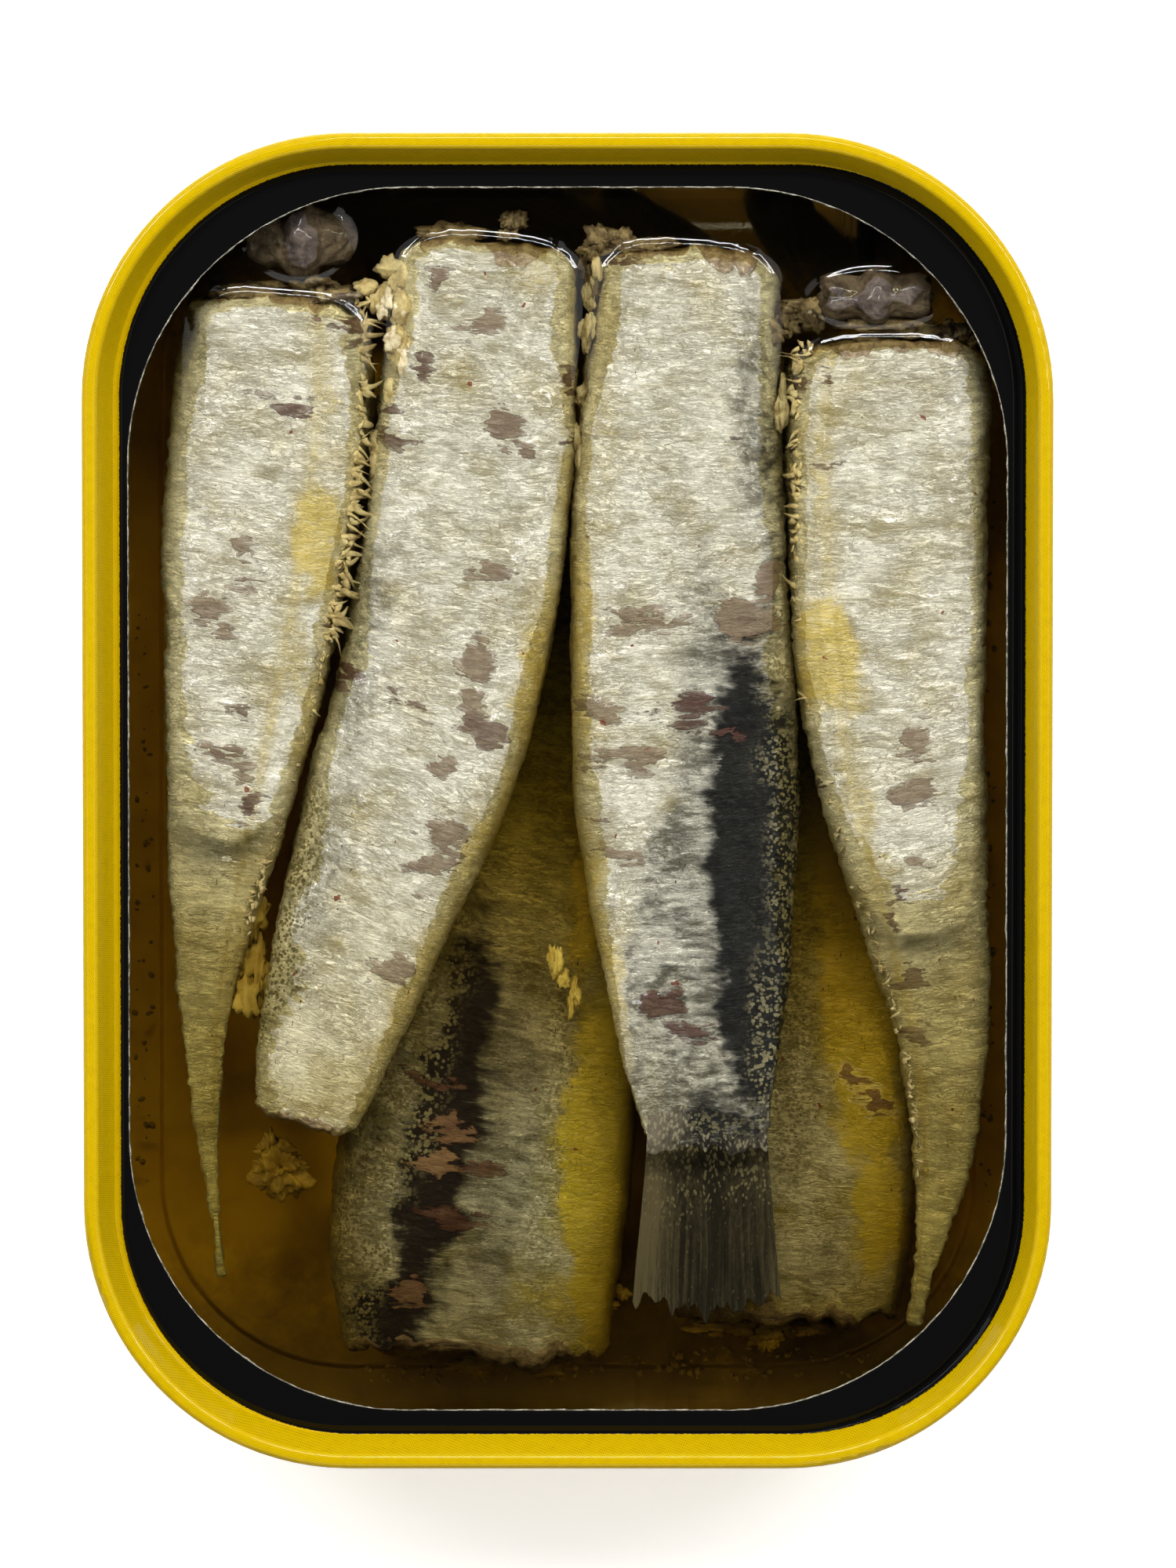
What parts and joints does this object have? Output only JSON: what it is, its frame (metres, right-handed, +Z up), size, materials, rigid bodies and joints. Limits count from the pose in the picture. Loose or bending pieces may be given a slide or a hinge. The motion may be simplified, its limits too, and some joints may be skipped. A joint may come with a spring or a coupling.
{
  "type": "sardine tin",
  "caption": "Opened rounded rectangular food tin with a seamed lid ring, holding silver headless fish laid head to tail in golden oil.",
  "frame": {"origin": "middle of the footprint, on the surface that the tin stands on", "axes": "+X across the width, +Y along the length towards the cut heads of the upper fish, +Z up out of the opening"},
  "size_m": [0.076, 0.105, 0.0215],
  "materials": {
    "lacquered_tin": "golden clear lacquer over tinplate, glossy",
    "printed_lid": "yellow print on the rim and gloss black on the ledge",
    "fish_skin": "wrinkled silver skin, wet with oil",
    "soft_tissue": "soft grey brown tissue, wet",
    "fish_flesh": "flaky cooked flesh, wet",
    "oil": "clear amber oil with a still surface"
  },
  "bodies": {
    "root": {"tin_body": "lacquered_tin", "lid_ring": "printed_lid", "fish_left": "fish_skin", "fish_mid_left": "fish_skin", "fish_mid_right": "fish_skin", "fish_right": "fish_skin", "fish_under_left": "fish_skin", "fish_under_right": "fish_skin", "gut_left": "soft_tissue", "gut_right": "soft_tissue", "flesh_flake": "fish_flesh", "oil": "oil"}
  },
  "joints": []
}
